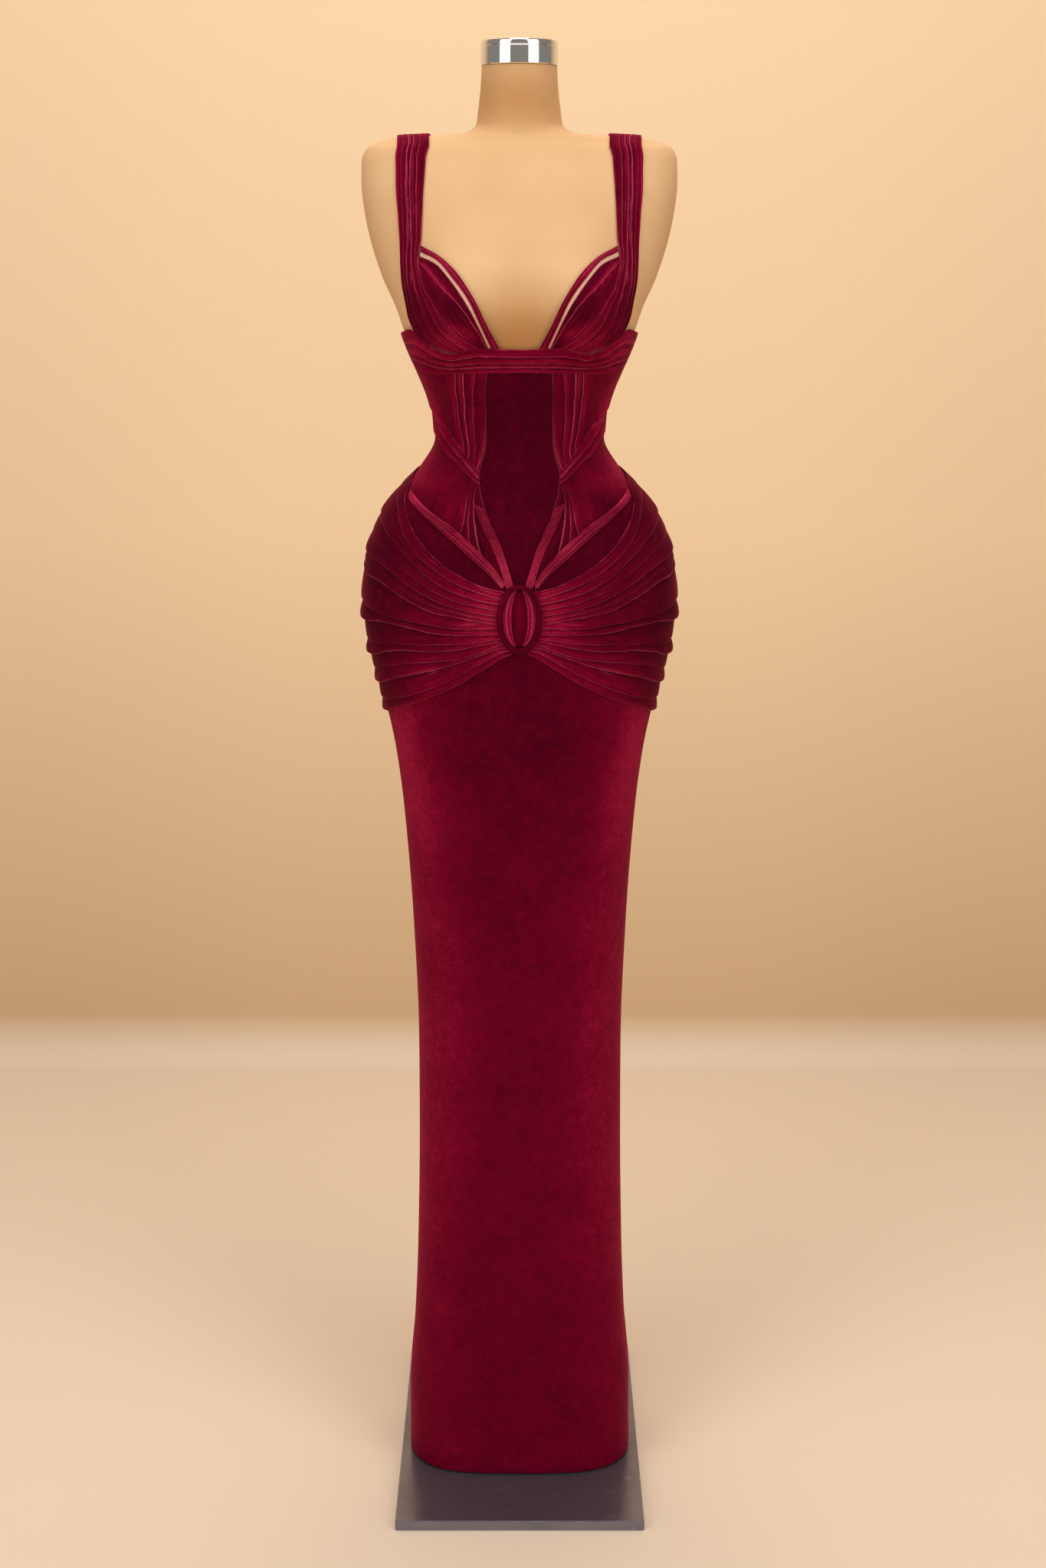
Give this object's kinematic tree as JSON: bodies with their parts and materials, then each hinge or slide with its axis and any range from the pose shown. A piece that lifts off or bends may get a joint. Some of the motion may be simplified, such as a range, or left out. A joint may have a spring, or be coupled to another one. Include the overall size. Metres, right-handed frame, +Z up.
{
  "type": "evening dress on a dress form",
  "caption": "Fitted full-length velvet evening dress with pleated straps, a ring at the hip and fan-draped hips, standing on a limbless dress form with a metal base.",
  "frame": {"origin": "centre of the base plate's underside, on the floor", "axes": "+Z up; the dress's front looks along -Y; +X is the wearer's left"},
  "size_m": [0.3708, 0.42, 1.7141],
  "materials": {
    "velvet": "deep crimson stretch velvet with a soft sheen on its nap",
    "mesh": "sheer skin-toned net",
    "form_cover": "smooth tan body, satin",
    "chrome": "polished",
    "steel": "polished, mirror-like on the base plate",
    "zip_metal": "lacquered to match the velvet"
  },
  "bodies": {
    "gown": {"skirt_front": "velvet", "skirt_back": "velvet", "centre_front": "velvet", "bust_band": "velvet", "side_front_left": "velvet", "waist_wrap_left": "velvet", "hip_yoke_left": "velvet", "back_left": "velvet", "cup_left": "velvet", "neck_edging_left": "velvet", "strap_left": "velvet", "hip_drape_left": "velvet", "v_strap_left": "velvet", "roll_band_left": "velvet", "ring_gather_left": "velvet", "side_front_right": "velvet", "waist_wrap_right": "velvet", "hip_yoke_right": "velvet", "back_right": "velvet", "cup_right": "velvet", "neck_edging_right": "velvet", "strap_right": "velvet", "hip_drape_right": "velvet", "v_strap_right": "velvet", "roll_band_right": "velvet", "ring_gather_right": "velvet", "ring": "velvet", "ring_knot": "velvet", "zip_tape": "velvet", "mesh_left": "mesh", "mesh_right": "mesh", "zip_slider": "zip_metal", "form_torso": "form_cover", "neck_cap": "chrome", "pole": "steel", "base_plate": "steel"},
    "zip_pull": {"zip_pull": "zip_metal"}
  },
  "joints": [
    {"name": "zip_pull_hinge", "type": "hinge", "parent": "gown", "child": "zip_pull", "pos_m": [0, 0.09007, 1.4053], "axis": [1, 0, 0], "range_deg": [0, 150]}
  ]
}
